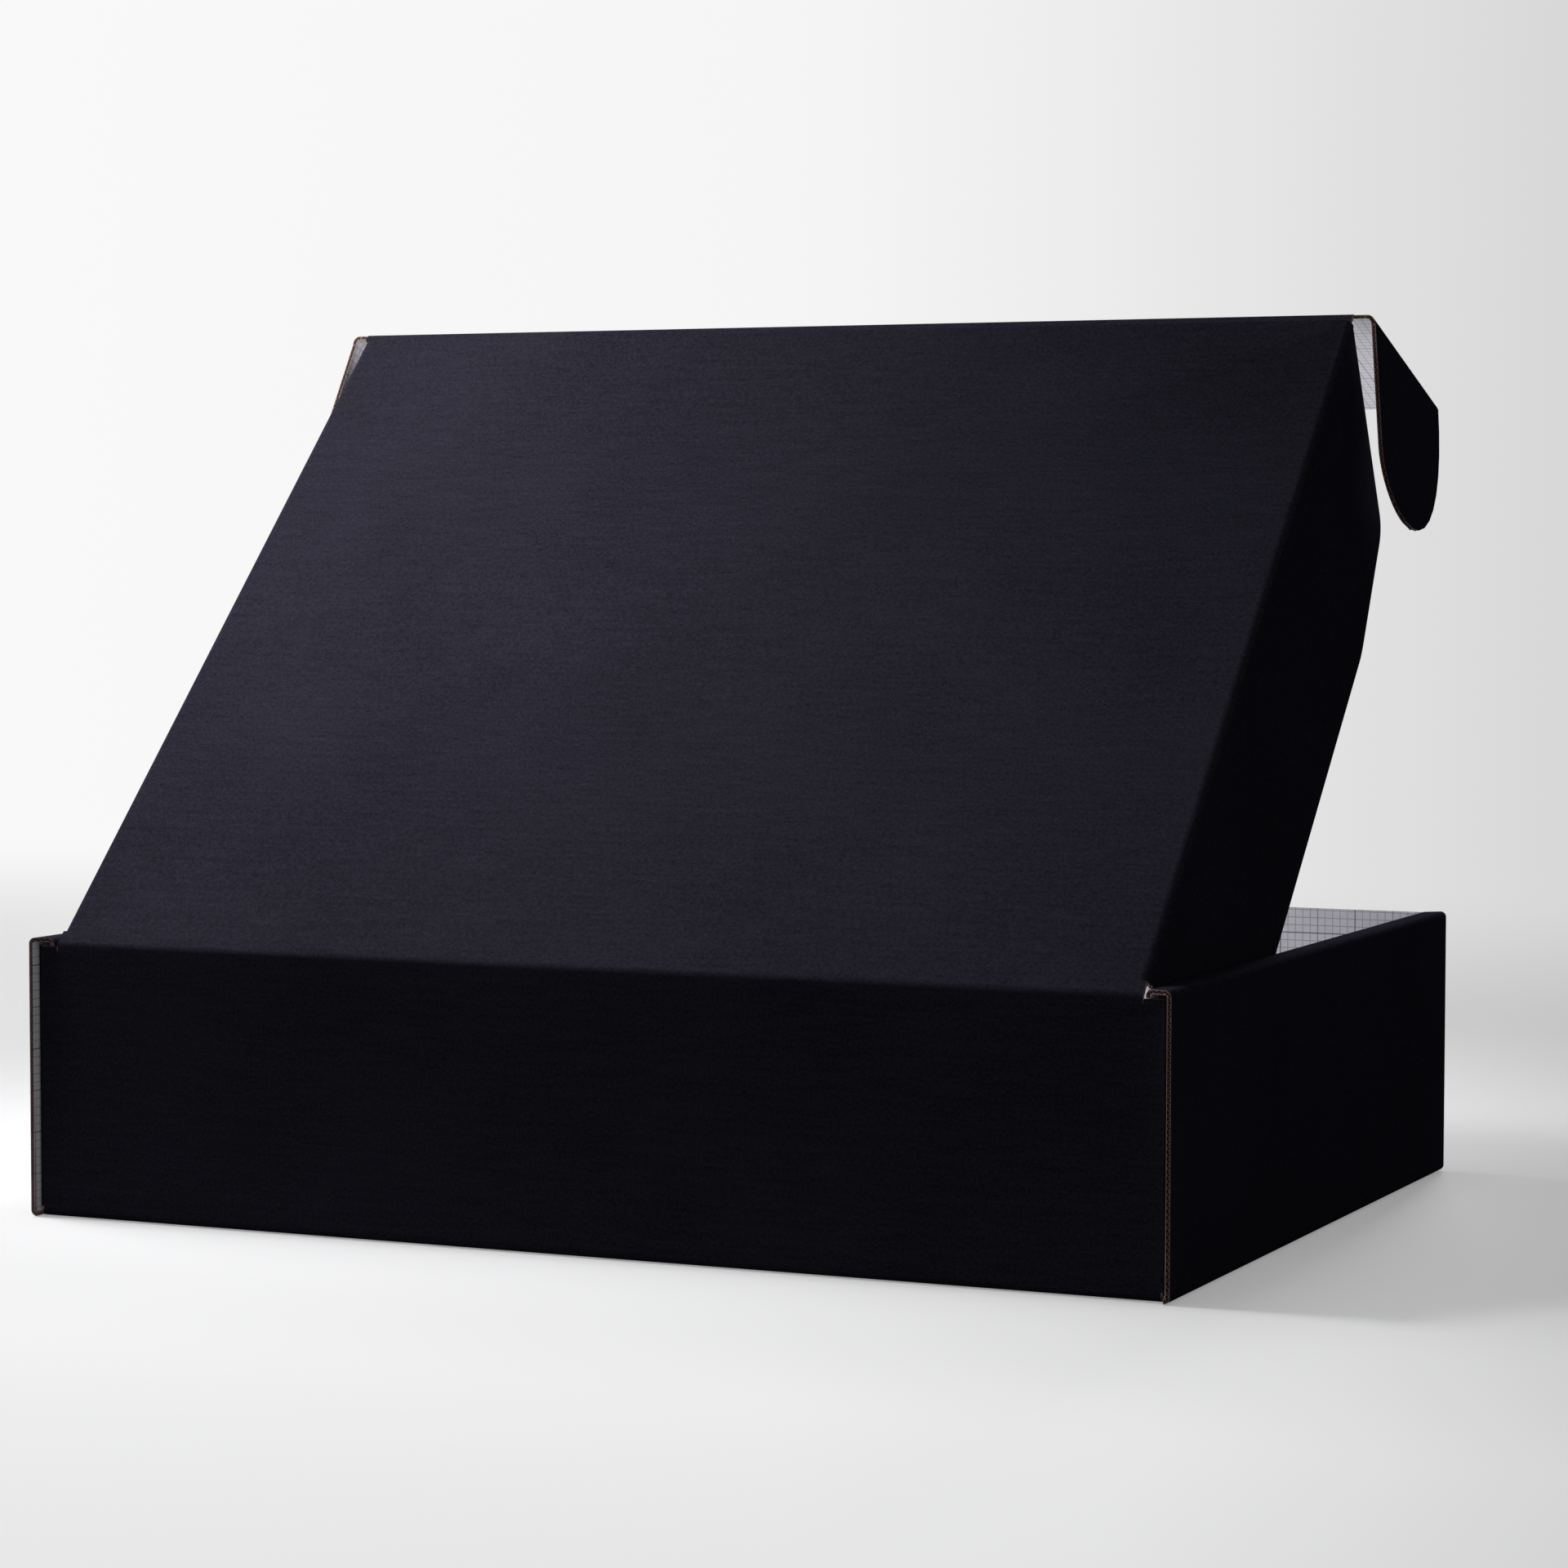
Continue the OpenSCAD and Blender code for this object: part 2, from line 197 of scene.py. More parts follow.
class Shader:
    """Builds the nodes of one material or of the world"""

    def __init__(self, owner):
        owner.use_nodes = True
        self.tree = owner.node_tree
        self.tree.nodes.clear()

    def node(self, kind, settings=None, values=None):
        """Adds a node, sets it, fills its sockets and returns its outputs"""
        made = self.tree.nodes.new(kind)
        for key, value in (settings or {}).items():
            if key == "stops":
                ramp = made.color_ramp
                while len(ramp.elements) < len(value):
                    ramp.elements.new(0.5)
                for element, (place, tone) in zip(ramp.elements, value):
                    element.position = place
                    element.color = (tone, tone, tone, 1)
            else:
                setattr(made, key, value)
        for key, value in (values or {}).items():
            if isinstance(value, Value):
                self.tree.links.new(value.socket, made.inputs[key])
            elif isinstance(value, bpy.types.NodeSocket):
                self.tree.links.new(value, made.inputs[key])
            else:
                made.inputs[key].default_value = value
        return [Value(self, socket) for socket in made.outputs]

    def noise(self, where, scale, detail=2.0, roughness=0.5):
        """Noise from 0 to 1 at that many grains to the metre, which may differ by axis"""
        spread = self.node("ShaderNodeMapping", {}, {"Vector": where, "Scale": scale})[0]
        settings = {"noise_dimensions": "3D", "normalize": True}
        values = {"Vector": spread, "Scale": 1.0, "Detail": detail, "Roughness": roughness}
        return self.node("ShaderNodeTexNoise", settings, values)[0]

    def mix(self, factor, a, b):
        """Mixes two colours"""
        settings = {"data_type": "RGBA", "clamp_factor": True}
        return self.node("ShaderNodeMix", settings, {0: factor, 6: a, 7: b})[2]

    def ramp(self, value, *stops):
        """A grey for a value, by stops of place and tone"""
        return self.node("ShaderNodeValToRGB", {"stops": stops}, {0: value})[0]

    def fade(self, value, start, end):
        """0 at start and 1 at end, with a smooth step between"""
        settings = {"clamp": True, "interpolation_type": "SMOOTHSTEP"}
        return self.node("ShaderNodeMapRange", settings, {0: value, 1: start, 2: end})[0]

    def seen(self):
        """1 for what the camera sees itself, in a mirror or through glass, and 0 for other light"""
        path = self.node("ShaderNodeLightPath")
        return path[0].math("MAXIMUM", path[3]).math("MAXIMUM", path[6])

    def bump(self, height, strength, distance):
        """A surface direction roughened by a height"""
        values = {"Strength": strength, "Distance": distance, "Height": height}
        return self.node("ShaderNodeBump", {}, values)[0]

    def paper(self, base, roughness, level, normal=None):
        """The surface of a paper, as the material's output"""
        values = {"Base Color": base, "Roughness": roughness, "Specular IOR Level": level}
        if normal is not None:
            values["Normal"] = normal
        self.output(self.node("ShaderNodeBsdfPrincipled", {}, values)[0])

    def output(self, surface, kind="ShaderNodeOutputMaterial"):
        self.node(kind, {}, {"Surface": surface})


def opaque(colour, gain=1.0):
    """A colour with its alpha, made lighter or darker"""
    return tuple(min(1.0, c * gain) for c in colour) + (1.0,)


def printed_paper(colours):
    """Outer liner: matt dark print over paper fibres, with faint streaks across the flutes; its colour
    is set lighter than the print, partly as painted sheen, for it has no gloss
    """
    shader = Shader(bpy.data.materials.new("printed_paper"))
    where = shader.node("ShaderNodeTexCoord")[3]
    fibres = shader.noise(where, (1000, 1000, 1000), 3.0, 0.6)
    streaks = shader.noise(where, (50, 700, 700), 2.0, 0.6)
    cloud = shader.noise(where, (14, 14, 14), 2.0)
    tone = fibres * 0.65 + streaks * 0.2 + cloud * 0.15
    spread = shader.ramp(tone, (0.32, 0.0), (0.68, 1.0))
    base = shader.mix(spread, opaque(colours.outer_print, 0.55), opaque(colours.outer_print, 1.47))
    bump = shader.bump(fibres * 0.7 + streaks * 0.3, 0.3, 0.00015)
    shader.paper(base, fibres * 0.14 + 0.56, 0.0, bump)


def grid_lines(along, step, width):
    """1 on lines of that width and distance, 0 between them"""
    off = ((along / step + 0.5).math("FRACT") - 0.5).math("ABSOLUTE") * step
    return off < width / 2


def gridded_paper(colours, sizes):
    """Inner liner: white paper with a plain grey square grid, bolder every 5 and 10 squares"""
    shader = Shader(bpy.data.materials.new("gridded_paper"))
    sheet = shader.node("ShaderNodeUVMap", {"uv_map": "sheet"})[0]
    across, along = shader.node("ShaderNodeSeparateXYZ", {}, {0: sheet})[:2]
    step, width = sizes.grid_step, sizes.grid_line
    ink = None
    for squares, share, gain in ((1, 0.6, 1.0), (5, 0.9, 1.1), (10, 1.0, 1.5)):
        lines = [grid_lines(u, step * squares, width * gain) * share for u in (across, along)]
        level = lines[0].math("MAXIMUM", lines[1])
        ink = level if ink is None else ink.math("MAXIMUM", level)
    where = shader.node("ShaderNodeTexCoord")[3]
    fibres = shader.noise(where, (1300, 1300, 1300), 3.0, 0.6)
    cloud = shader.noise(where, (35, 35, 35), 3.0)
    tone = shader.ramp(fibres * 0.6 + cloud * 0.4, (0.3, 0.0), (0.7, 1.0))
    paper = shader.mix(tone, opaque(colours.inner_print, 0.94), opaque(colours.inner_print, 1.04))
    base = shader.mix(ink, paper, opaque(colours.grid_ink))
    shader.paper(base, fibres * 0.1 + 0.72, 0.2, shader.bump(fibres, 0.25, 0.0001))


def kraft_paper(colours):
    """Cut edges: brown fibrous paper"""
    shader = Shader(bpy.data.materials.new("kraft_paper"))
    where = shader.node("ShaderNodeTexCoord")[3]
    fibres = shader.noise(where, (2600, 2600, 900), 4.0, 0.7)
    patches = shader.noise(where, (160, 160, 160), 3.0)
    tone = shader.ramp(fibres * 0.6 + patches * 0.4, (0.3, 0.0), (0.7, 1.0))
    base = shader.mix(tone, opaque(colours.raw_edge, 0.6), opaque(colours.raw_edge, 1.35))
    shader.paper(base, fibres * 0.15 + 0.8, 0.2, shader.bump(fibres, 0.5, 0.00015))


def hollow_painted_shade(colours):
    """Bottom of the hollows between the flutes, which run on out of sight: near-black painted shade for
    the deep tunnels
    """
    shader = Shader(bpy.data.materials.new("hollow_painted_shade"))
    where = shader.node("ShaderNodeTexCoord")[3]
    grain = shader.noise(where, (900, 900, 900), 2.0)
    # painted shade: the kraft colour darkened to 3 to 9 percent, for the shade deep inside the tunnels
    base = shader.mix(grain, opaque(colours.raw_edge, 0.03), opaque(colours.raw_edge, 0.09))
    shader.paper(base, 0.95, 0.0)


def studio_floor(colours):
    """Pale floor that shines by itself, least round the box, so that it keeps the box's shadow

    Its tones follow the photograph's: darker to the left, away from the key light, as painted falloff
    of light, and at the foot of the box, as painted shade.
    """
    material = bpy.data.materials.new("studio_floor")
    shader = Shader(material)
    x, y = shader.node("ShaderNodeSeparateXYZ", {}, {0: shader.node("ShaderNodeTexCoord")[3]})[:2]
    way = VIEW_AHEAD.xy.normalized()
    off_x, off_y = x - VIEW_PLACE.x, y - VIEW_PLACE.y
    ahead = off_x * way.x + off_y * way.y
    aside = (off_y * way.x - off_x * way.y) / ahead
    half = SENSOR / 2 / VIEW_LENS
    across = shader.node("ShaderNodeMapRange", {"clamp": True}, {0: aside, 1: -half, 2: half})[0]
    # far goes from 0 under the box to 1 at the backdrop, near from 0 to 1 on the camera's side of
    # the box, and behind from 0 to 1 towards the camera, where the tones give way to a plain one
    far = shader.fade(y, -0.1, -1.5)
    near = shader.fade(y, 0.17, 0.37)
    behind = shader.fade(ahead, 0.9, 0.3)
    # painted light: backdrop and ground glow darker to the left, away from the key light, as painted
    # falloff
    backdrop = shader.ramp(across, (0.0, 0.70), (0.16, 0.78), (0.32, 0.87), (0.5, 0.94), (1.0, 0.97))
    ground = shader.ramp(across, (0.0, 0.77), (0.3, 0.93), (0.5, 0.98), (1.0, 1.0))
    glow = shader.mix(behind, shader.mix(far, ground, backdrop), (0.9, 0.9, 0.9, 1))
    # painted shade: the floor's glow dims by up to 30 percent where the box hems it in, a painted
    # contact shadow at its foot
    open_sky = shader.node("ShaderNodeAmbientOcclusion", {"samples": 8}, {"Distance": 0.03})[1]
    glow = shader.mix(open_sky, shader.mix(0.3, glow, (0, 0, 0, 1)), glow)
    seen = shader.seen()
    paint = shader.mix(seen, opaque(colours.floor, 0.45), opaque(colours.floor))
    lit = shader.node("ShaderNodeBsdfDiffuse", {}, {0: paint})[0]
    bright = shader.node("ShaderNodeEmission", {}, {0: glow, 1: seen})[0]
    share = far * 0.57 + near * 0.32 + 0.40
    shader.output(shader.node("ShaderNodeMixShader", {}, {0: share, 1: lit, 2: bright})[0])
    return material


def board_materials(context):
    """The finishes of the board, made once, in the order of OUTER, INNER, RAW and HOLLOW"""
    if "printed_paper" not in bpy.data.materials:
        colours = context.scene.mailer_colours
        printed_paper(colours)
        gridded_paper(colours, context.scene.mailer_sizes)
        kraft_paper(colours)
        hollow_painted_shade(colours)
    names = ("printed_paper", "gridded_paper", "kraft_paper", "hollow_painted_shade")
    return [bpy.data.materials[name] for name in names]


def deselect_all():
    """Leaves edit mode and selects nothing, because operators act on all that is selected"""
    if bpy.context.object and bpy.context.object.mode != "OBJECT":
        bpy.ops.object.mode_set(mode="OBJECT")
    bpy.ops.object.select_all(action="DESELECT")


def take(obj):
    """Makes obj the one selected and active object"""
    deselect_all()
    obj.select_set(True)
    bpy.context.view_layer.objects.active = obj


def edit(obj, faces=None, verts=None):
    """Opens obj in edit mode with only the given faces or vertices selected, by index"""
    take(obj)
    bpy.ops.object.mode_set(mode="EDIT")
    mode = (True, False, False) if verts is not None else (False, False, True)
    bpy.context.tool_settings.mesh_select_mode = mode
    bpy.ops.mesh.select_all(action="DESELECT")
    bpy.ops.object.mode_set(mode="OBJECT")
    for index in verts or ():
        obj.data.vertices[index].select = True
    for index in faces or ():
        obj.data.polygons[index].select = True
    bpy.ops.object.mode_set(mode="EDIT")


def leave():
    """Goes back to object mode"""
    bpy.ops.object.mode_set(mode="OBJECT")


def join(objects):
    """Joins objects into the first of them"""
    deselect_all()
    for obj in objects:
        obj.select_set(True)
    bpy.context.view_layer.objects.active = objects[0]
    bpy.ops.object.join()
    return objects[0]


def outward(obj):
    """Turns every face of closed shells outwards"""
    edit(obj)
    bpy.ops.mesh.select_all(action="SELECT")
    bpy.ops.mesh.normals_make_consistent(inside=False)
    leave()


def cad_copy(node, name, place, side=1, cuts=()):
    """A merged copy of a CAD node in its panel's own frame, in millimetres, right-hand side

    cuts are planes, each a point and a normal, beyond which the copy is cut off and closed.
    """
    obj = bpy.data.objects.new(name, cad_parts[node].data.copy())
    bpy.context.scene.collection.objects.link(obj)
    obj.data.materials.clear()
    mirror = Matrix.Diagonal((side, 1, 1, 1))
    obj.data.transform(place.inverted() @ mirror @ Matrix.Scale(1 / MM, 4))
    edit(obj)
    bpy.ops.mesh.select_all(action="SELECT")
    bpy.ops.mesh.remove_doubles(threshold=0.002)
    for point, normal in cuts:
        bpy.ops.mesh.select_all(action="SELECT")
        bpy.ops.mesh.bisect(
            plane_co=point, plane_no=normal, use_fill=True, clear_outer=True, threshold=0.001)
    bpy.ops.mesh.select_all(action="SELECT")
    bpy.ops.mesh.dissolve_limited(angle_limit=math.radians(0.4))
    leave()
    if side < 0:
        outward(obj)
    return obj


def cut_away(obj, gone):
    """Deletes the vertices for which gone says so, and closes the openings with flat faces"""
    edit(obj, verts=[v.index for v in obj.data.vertices if gone(v.co)])
    bpy.ops.mesh.delete(type="VERT")
    bpy.ops.mesh.select_all(action="DESELECT")
    bpy.ops.mesh.select_non_manifold(
        extend=False, use_wire=False, use_boundary=True, use_multi_face=False,
        use_non_contiguous=False, use_verts=False)
    bpy.ops.mesh.fill_holes(sides=0)
    leave()


def finish_faces(obj, kind_of, materials):
    """Gives every face its finish: kind_of(centre, normal) says which"""
    for material in materials:
        obj.data.materials.append(material)
    for face in obj.data.polygons:
        face.material_index = kind_of(face.center, face.normal)


def recess(obj, chosen, sizes, even=True):
    """Sinks the chosen raw faces between the two liners"""
    faces = [f.index for f in obj.data.polygons if chosen(f.center, f.normal)]
    edit(obj, faces=faces)
    bpy.ops.mesh.inset(thickness=sizes.liner / MM, depth=0, use_boundary=True, use_even_offset=even)
    bpy.ops.mesh.inset(
        thickness=0.01, depth=-sizes.edge_depth / MM, use_boundary=True, use_even_offset=False)
    # the sunk bottom faces get the near-black hollow finish, painted shade for the deep flute tunnels
    obj.active_material_index = HOLLOW
    bpy.ops.object.material_slot_assign()
    leave()


def sheet_uv(obj):
    """Lays the flat sheet's own coordinates, in metres, on every face"""
    layer = obj.data.uv_layers.new(name="sheet")
    for face in obj.data.polygons:
        n = face.normal
        axis = max(range(3), key=lambda i: abs(n[i]))
        u, v = ((1, 2), (0, 2), (0, 1))[axis]
        for loop in face.loop_indices:
            co = obj.data.vertices[obj.data.loops[loop].vertex_index].co
            layer.data[loop].uv = (co[u] * MM, co[v] * MM)


def put(obj, place, side=1):
    """Carries a finished mesh from its panel's frame in millimetres to the row frame"""
    mirror = Matrix.Diagonal((side, 1, 1, 1))
    obj.data.transform(Matrix.Scale(MM, 4) @ mirror @ place)
    if side < 0:
        outward(obj)
    take(obj)
    bpy.ops.object.shade_smooth_by_angle(angle=math.radians(32))
    return obj


def trace(parts, step):
    """Distances, points and outer normals at even steps along lines and arcs of a section"""
    lengths = []
    for part in parts:
        if part[0] == "line":
            lengths.append((Vector(part[2]) - Vector(part[1])).length)
        else:
            lengths.append(abs(math.radians(part[4] - part[3])) * part[2])
    total = sum(lengths)
    count = max(2, round(total / step))
    found = []
    for i in range(count + 1):
        s = total * i / count
        left = s
        for part, length in zip(parts, lengths):
            if left <= length + 1e-9 or part is parts[-1]:
                share = min(1.0, left / length)
                break
            left -= length
        if part[0] == "line":
            a, b = Vector(part[1]), Vector(part[2])
            point = a.lerp(b, share)
            t = (b - a).normalized()
        else:
            centre, r, start, end = Vector(part[1]), part[2], part[3], part[4]
            angle = math.radians(start + (end - start) * share)
            point = centre + r * Vector((math.cos(angle), math.sin(angle)))
            turn = 1 if end > start else -1
            t = turn * Vector((-math.sin(angle), math.cos(angle)))
        found.append((s, point, Vector((t.y, -t.x))))
    return found


def wave(s, sizes):
    """Height of the fluted paper's middle at distance s across the flutes"""
    room = HALF - sizes.liner / MM - sizes.flute_paper / MM / 2
    return room * math.sin(2 * math.pi * s / (sizes.flute_pitch / MM))


def flute_ribbon(name, stations, inwards, sizes):
    """A strip of fluted paper: stations are (distance across the flutes, point, outer normal)"""
    count = len(stations)
    deselect_all()
    bpy.ops.mesh.primitive_grid_add(x_subdivisions=count - 1, y_subdivisions=1, size=2)
    obj = bpy.context.object
    obj.name = name
    order = sorted(obj.data.vertices, key=lambda v: (round(v.co.y), v.co.x))
    if len(order) != 2 * count:
        raise RuntimeError(f"{name}: the strip has {len(order)} points, not {2 * count}")
    depth = Vector(inwards).normalized() * (sizes.edge_depth / MM + SUNK)
    for i, (s, point, normal) in enumerate(stations):
        here = Vector(point) + Vector(normal) * wave(s, sizes)
        order[i].co = here
        order[i + count].co = here + depth
    take(obj)
    thicken = obj.modifiers.new("paper", "SOLIDIFY")
    thicken.thickness = sizes.flute_paper / MM
    thicken.offset = 0
    bpy.ops.object.modifier_apply(modifier=thicken.name)
    outward(obj)
    return obj


def flute_step(sizes):
    """Distance between stations, eight to a wave"""
    return sizes.flute_pitch / MM / 8


def flute_steps(low, high, sizes):
    """Even distances across the flutes from low to high"""
    count = max(2, round((high - low) / flute_step(sizes)))
    return [low + (high - low) * i / count for i in range(count + 1)]


def outline_edge(obj, far, low, high, sizes):
    """Stations along the near or far cut edge of a flat panel"""
    corners = sorted({(round(v.co.x, 3), round(-v.co.y, 3)) for v in obj.data.vertices})
    middle = sum(c[1] for c in corners) / len(corners)
    if far:
        rim = [c for c in corners if c[1] >= middle]
    else:
        rim = [c for c in corners if c[1] <= middle]
    found = []
    for s in flute_steps(low, high, sizes):
        after = next((k for k, c in enumerate(rim) if c[0] >= s - 1e-6), len(rim) - 1)
        before = max(0, after - 1)
        (x0, y0), (x1, y1) = rim[before], rim[after]
        share = 0.0 if x1 - x0 < 1e-6 else min(1.0, max(0.0, (s - x0) / (x1 - x0)))
        found.append((s, Vector((s, -(y0 + (y1 - y0) * share), 0)), Vector((0, 0, 1))))
    return found


def flat_stations(low, high, place, normal, sizes):
    """Stations along a straight cut edge that runs in x"""
    return [(x, Vector((x,) + place), Vector(normal)) for x in flute_steps(low, high, sizes)]


def finish_flutes(name, ribbons, place, side, materials):
    """Joins strips of fluted paper into one piece"""
    obj = join(ribbons)
    obj.name = name
    obj.data.materials.clear()
    obj.data.materials.append(materials[RAW])
    put(obj, place, side)
    return obj


def bend_kind(centre, normal, middle, axis):
    """Outer on the hollow cylinder's outside and inner on its inside; None off the bend's faces"""
    if abs(normal[axis]) > ACROSS:
        return None
    a, b = [i for i in range(3) if i != axis]
    off = Vector((centre[a] - middle[0], centre[b] - middle[1]))
    if off.length < HALF / 4:
        return None
    return OUTER if off.x * normal[a] + off.y * normal[b] > 0 else INNER


def tray_kind(c, n):
    """Which finish a face of the tray has, by its place and normal"""
    x, y, z = abs(c.x), abs(c.y), c.z
    nx = n.x if c.x > 0 else -n.x
    ny = n.y if c.y > 0 else -n.y
    flat = Vector((x, y, z))
    turned = Vector((nx, ny, n.z))
    if x > FOOT_X and z < FOOT_R:
        bent = abs(ny) < ACROSS and abs(nx) < FULLY
        return bend_kind(flat, turned, (FOOT_X, FOOT_R), 1) if bent else RAW
    if y > FOOT_Y and z < FOOT_R and x < FOOT_X:
        kind = bend_kind(flat, turned, (FOOT_Y, FOOT_R), 0)
        return RAW if kind is None else kind
    rolled = abs(ny) < ACROSS and abs(n.z) < FULLY and abs(nx) < FULLY
    if z > BOX_H - ROLL_R and x > INNER_X - NEAR and rolled:
        middle = SIDE_X - ROLL_R if x > (SIDE_X + INNER_X) / 2 else INNER_X + ROLL_R
        return bend_kind(flat, turned, (middle, BOX_H - ROLL_R), 1)
    if abs(n.z) < ACROSS and 0.02 < abs(nx) < FULLY and END_Y - CORNER_R < y < END_Y + NEAR:
        face_x = BACK_FLAP_X if c.y > 0 else FRONT_FLAP_X
        if x > face_x - CORNER_R - NEAR:
            kind = bend_kind(flat, turned, (face_x - CORNER_R, END_Y - CORNER_R), 2)
            return RAW if kind is None else kind
    if nx > ALONG:
        flap = min(abs(x - BACK_FLAP_X), abs(x - FRONT_FLAP_X)) < NEAR
        if x > SIDE_X - NEAR or (flap and y < END_Y - CORNER_R + NEAR):
            return OUTER
        return INNER if abs(x - INNER_X - 2 * HALF) < NEAR else RAW
    if nx < -ALONG:
        if abs(x - INNER_X) < NEAR and z > SKIN_FOOT:
            return OUTER
        inner = (SIDE_X - 2 * HALF, BACK_FLAP_X - 2 * HALF, FRONT_FLAP_X - 2 * HALF)
        return INNER if min(abs(x - i) for i in inner) < NEAR else RAW
    if ny > ALONG:
        return OUTER if abs(y - END_Y) < NEAR else RAW
    if ny < -ALONG:
        return INNER if abs(y - INNER_Y) < NEAR else RAW
    if n.z > ALONG:
        if z > BOX_H - NEAR:
            return OUTER
        return INNER if abs(z - 2 * HALF) < NEAR else RAW
    if n.z < -ALONG:
        if z < NEAR:
            return OUTER
        return INNER if abs(z - BOX_H + 2 * HALF) < NEAR else RAW
    return RAW


def plate_kind(c, n):
    """Which finish a face of a flat panel has, in the panel's own frame"""
    if n.z > MOSTLY:
        return OUTER
    return INNER if n.z < -MOSTLY else RAW


def rolled_end_section(low):
    """Middle of the board along the raw end of a rolled side wall, from the foot down to low"""
    return [
        ("arc", (FOOT_X, FOOT_R), FOOT_R - HALF, -90, 0),
        ("line", (SIDE_X - HALF, FOOT_R), (SIDE_X - HALF, BOX_H - ROLL_R)),
        ("arc", (SIDE_X - ROLL_R, BOX_H - ROLL_R), ROLL_R - HALF, 0, 90),
        ("line", (SIDE_X - ROLL_R, BOX_H - HALF), (INNER_X + ROLL_R, BOX_H - HALF)),
        ("arc", (INNER_X + ROLL_R, BOX_H - ROLL_R), ROLL_R - HALF, 90, 180),
        ("line", (INNER_X + HALF, BOX_H - ROLL_R), (INNER_X + HALF, low)),
    ]


def rolled_end_y(x, end):
    """How far out the raw end of a rolled side wall is at x, from end at its inner bend to RAW_Y"""
    outer, inner = SIDE_X - 2 * HALF, INNER_X + 2 * HALF
    share = min(1.0, max(0.0, (x - inner) / (outer - inner)))
    return end + (RAW_Y - end) * share


class MAILER_OT_tray(bpy.types.Operator):
    """Dress the tray: rolled side walls, end walls, corner flaps and slotted base"""

    bl_idname = "mailer.tray"
    bl_label = "Tray"

    def execute(self, context):
        sizes = context.scene.mailer_sizes
        materials = board_materials(context)
        same = Matrix.Identity(4)
        tray = cad_copy("tray", "tray_board", same)
        ramp = HINGE_Z - NECK
        cut_away(tray, lambda p: (
            abs(p.x) < RAW_LID_X + NEAR and p.y > INNER_Y - NEAR and p.z > ramp + NEAR))
        finish_faces(tray, tray_kind, materials)
        recess(tray, self.open_edge, sizes, even=False)
        sheet_uv(tray)
        put(tray, same)
        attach(tray, "tray")
        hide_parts("tray")

        strips = []
        skin = [("line", (INNER_X + HALF, ROLL_CUT), (INNER_X + HALF, SKIN_FOOT))]
        # Front or back, how far out the raw end is at its inner bend, and its section
        ends = (
            (-1, SKIN_Y, rolled_end_section(SKIN_FOOT)),
            (1, ROLL_Y, rolled_end_section(ROLL_CUT)),
            (1, SKIN_Y, skin),
        )
        for sx in (-1, 1):
            for sy, end, section in ends:
                stations = []
                for s, point, normal in trace(section, flute_step(sizes)):
                    y = rolled_end_y(point.x, end)
                    stations.append((s, (sx * point.x, sy * y, point.y), (sx * normal.x, 0, normal.y)))
                strips.append(flute_ribbon("rolled_end", stations, (0, -sy, 0), sizes))
        half = FRONT_FLAP_X - CORNER_R - sizes.liner / MM
        rim = flat_stations(-half, half, (-END_Y + HALF, FRONT_TOP), (0, 1, 0), sizes)
        strips.append(flute_ribbon("front_top", rim, (0, 0, -1), sizes))
        for sx in (-1, 1):
            low, high = sorted((sx * (LID_X + sizes.liner / MM), sx * (BACK_FLAP_X - CORNER_R)))
            rim = flat_stations(low, high, (END_Y - HALF, BACK_TOP), (0, 1, 0), sizes)
            strips.append(flute_ribbon("back_top", rim, (0, 0, -1), sizes))
        flutes = finish_flutes("tray_flutes", strips, same, 1, materials)
        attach(flutes, "tray")
        return {"FINISHED"}

    @staticmethod
    def open_edge(c, n):
        """The cut edges that show their flutes"""
        raw_end = abs(c.y) > SKIN_Y - NEAR and n.y * c.y > 0 and abs(n.y) > 0.5
        raw_end = raw_end and abs(abs(c.y) - END_Y) > NEAR and abs(c.x) > INNER_X
        front_top = n.z > ALONG and abs(c.z - FRONT_TOP) < NEAR
        back_top = n.z > ALONG and abs(c.z - BACK_TOP) < NEAR
        return raw_end or front_top or back_top


class MAILER_OT_lid(bpy.types.Operator):
    """Dress the lid's flat panel"""

    bl_idname = "mailer.lid"
    bl_label = "Lid"

    def execute(self, context):
        materials = board_materials(context)
        ends = (((0, -NECK, 0), (0, 1, 0)), ((0, NECK - LID_L, 0), (0, -1, 0)))
        lid = cad_copy("lid", "lid_board", LID, cuts=ends)
        finish_faces(lid, self.kind, materials)
        sheet_uv(lid)
        put(lid, LID)
        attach(lid, "lid")
        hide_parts("lid")
        return {"FINISHED"}

    @staticmethod
    def kind(c, n):
        """Which finish a face of the lid has, its bends into the dust flaps among them"""
        if abs(c.x) < DUST_ARC_X + NEAR or abs(n.y) > 0.5:
            return plate_kind(c, n)
        if c.z < HALF - DUST_R + 0.001 and n.z < -MOSTLY:
            return RAW
        place = Vector((abs(c.x), c.y, c.z))
        normal = Vector((n.x if c.x > 0 else -n.x, n.y, n.z))
        if c.z > -HALF - NEAR and -c.y < DUST_BACK or -c.y > DUST_FAR:
            return plate_kind(c, n)
        return bend_kind(place, normal, (DUST_ARC_X, HALF - DUST_R), 1)


